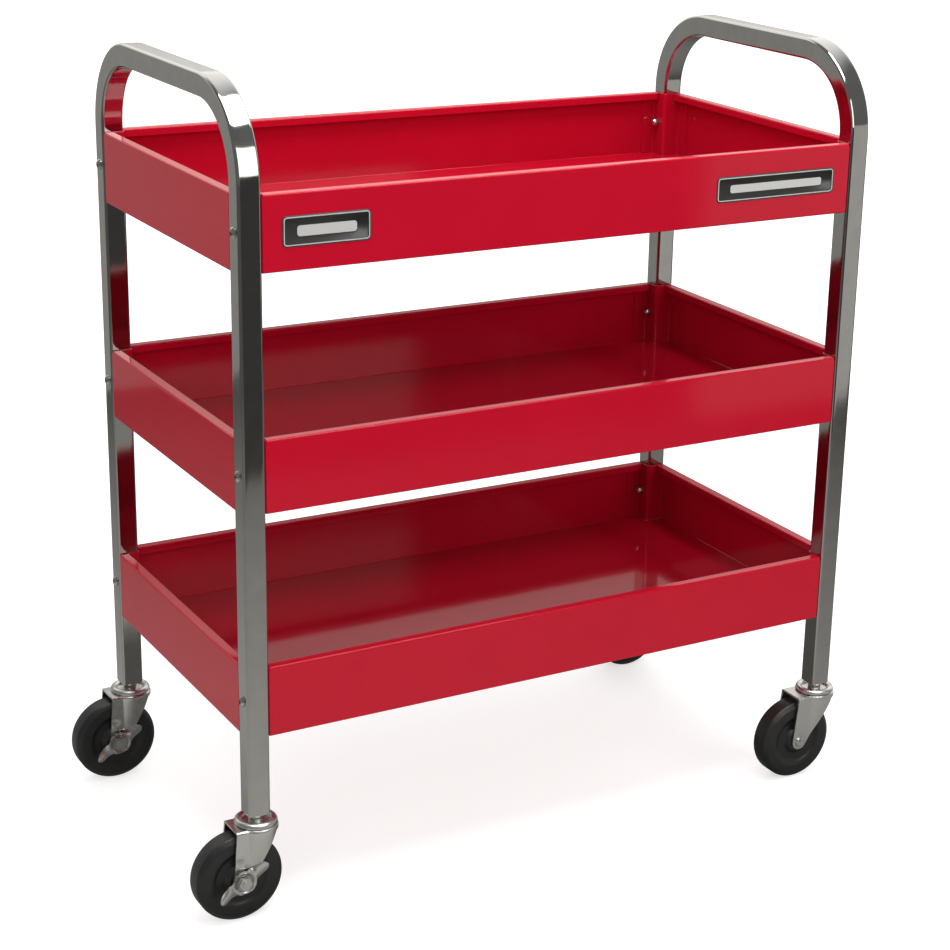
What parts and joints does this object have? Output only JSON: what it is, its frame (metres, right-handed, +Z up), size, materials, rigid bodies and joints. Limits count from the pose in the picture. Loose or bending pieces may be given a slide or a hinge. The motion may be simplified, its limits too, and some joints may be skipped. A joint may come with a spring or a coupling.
{
  "type": "tool cart",
  "caption": "Wheeled tool cart: shallow folded sheet trays bolted between two bent tube end frames whose tops are push handles, on swivel casters with side brakes.",
  "frame": {"origin": "on the floor, under the middle of the whole cart's box with its wheels trailing to the left", "axes": "+X along the cart towards the end without brakes, +Y across it away from the front with the badges, +Z up"},
  "size_m": [0.8535, 0.4391, 0.905],
  "materials": {
    "chrome_tube": "bright chrome plating on steel tube",
    "red_enamel": "gloss red powder coat on folded sheet steel",
    "badge_plate": "satin dark grey plate with a thin silver border",
    "wheel_rubber": "moulded hard black rubber, satin tread",
    "bearing_steel": "polished hardened steel",
    "plated_fasteners": "bright nickel plate",
    "zinc_plate": "satin zinc plate on pressed steel"
  },
  "bodies": {
    "cart": {"back_left_bearing_balls": "bearing_steel", "back_left_caster_socket": "zinc_plate", "back_left_caster_stem": "zinc_plate", "back_left_raceway_cap": "zinc_plate", "back_right_bearing_balls": "bearing_steel", "back_right_caster_socket": "zinc_plate", "back_right_caster_stem": "zinc_plate", "back_right_raceway_cap": "zinc_plate", "front_left_bearing_balls": "bearing_steel", "front_left_caster_socket": "zinc_plate", "front_left_caster_stem": "zinc_plate", "front_left_raceway_cap": "zinc_plate", "front_right_bearing_balls": "bearing_steel", "front_right_caster_socket": "zinc_plate", "front_right_caster_stem": "zinc_plate", "front_right_raceway_cap": "zinc_plate", "left_badge": "badge_plate", "left_end_frame": "chrome_tube", "lower_corner_brackets": "red_enamel", "lower_dome_nuts": "plated_fasteners", "lower_tray": "red_enamel", "lower_tray_screws": "plated_fasteners", "middle_corner_brackets": "red_enamel", "middle_dome_nuts": "plated_fasteners", "middle_tray": "red_enamel", "middle_tray_screws": "plated_fasteners", "right_badge": "badge_plate", "right_end_frame": "chrome_tube", "upper_corner_brackets": "red_enamel", "upper_dome_nuts": "plated_fasteners", "upper_tray": "red_enamel", "upper_tray_screws": "plated_fasteners"},
    "front_left_swivel": {"front_left_fork": "zinc_plate", "front_left_axle_bolt": "zinc_plate", "front_left_axle_nut": "zinc_plate", "front_left_hub_sleeve": "zinc_plate"},
    "front_left_roller": {"front_left_wheel": "wheel_rubber"},
    "front_left_brake": {"front_left_brake_lever": "zinc_plate"},
    "back_left_swivel": {"back_left_fork": "zinc_plate", "back_left_axle_bolt": "zinc_plate", "back_left_axle_nut": "zinc_plate", "back_left_hub_sleeve": "zinc_plate"},
    "back_left_roller": {"back_left_wheel": "wheel_rubber"},
    "back_left_brake": {"back_left_brake_lever": "zinc_plate"},
    "front_right_swivel": {"front_right_fork": "zinc_plate", "front_right_axle_rivet": "zinc_plate", "front_right_hub_sleeve": "zinc_plate"},
    "front_right_roller": {"front_right_wheel": "wheel_rubber"},
    "back_right_swivel": {"back_right_fork": "zinc_plate", "back_right_axle_rivet": "zinc_plate", "back_right_hub_sleeve": "zinc_plate"},
    "back_right_roller": {"back_right_wheel": "wheel_rubber"}
  },
  "joints": [
    {"name": "front_left_swivel_turn", "type": "hinge", "parent": "cart", "child": "front_left_swivel", "pos_m": [-0.35275, -0.193, 0.105], "axis": [0, 0, 1], "continuous": true},
    {"name": "front_left_wheel_spin", "type": "hinge", "parent": "front_left_swivel", "child": "front_left_roller", "pos_m": [-0.37675, -0.193, 0.05], "axis": [0, 1, 0], "continuous": true},
    {"name": "front_left_brake_rock", "type": "hinge", "parent": "front_left_swivel", "child": "front_left_brake", "pos_m": [-0.37675, -0.2125, 0.05], "axis": [0, -1, 0], "range_deg": [-24, 0]},
    {"name": "back_left_swivel_turn", "type": "hinge", "parent": "cart", "child": "back_left_swivel", "pos_m": [-0.35275, 0.193, 0.105], "axis": [0, 0, 1], "continuous": true},
    {"name": "back_left_wheel_spin", "type": "hinge", "parent": "back_left_swivel", "child": "back_left_roller", "pos_m": [-0.37675, 0.193, 0.05], "axis": [0, 1, 0], "continuous": true},
    {"name": "back_left_brake_rock", "type": "hinge", "parent": "back_left_swivel", "child": "back_left_brake", "pos_m": [-0.37675, 0.1735, 0.05], "axis": [0, -1, 0], "range_deg": [-24, 0]},
    {"name": "front_right_swivel_turn", "type": "hinge", "parent": "cart", "child": "front_right_swivel", "pos_m": [0.40225, -0.193, 0.105], "axis": [0, 0, 1], "continuous": true},
    {"name": "front_right_wheel_spin", "type": "hinge", "parent": "front_right_swivel", "child": "front_right_roller", "pos_m": [0.37025, -0.193, 0.05], "axis": [0, 1, 0], "continuous": true},
    {"name": "back_right_swivel_turn", "type": "hinge", "parent": "cart", "child": "back_right_swivel", "pos_m": [0.40225, 0.193, 0.105], "axis": [0, 0, 1], "continuous": true},
    {"name": "back_right_wheel_spin", "type": "hinge", "parent": "back_right_swivel", "child": "back_right_roller", "pos_m": [0.37025, 0.193, 0.05], "axis": [0, 1, 0], "continuous": true}
  ]
}
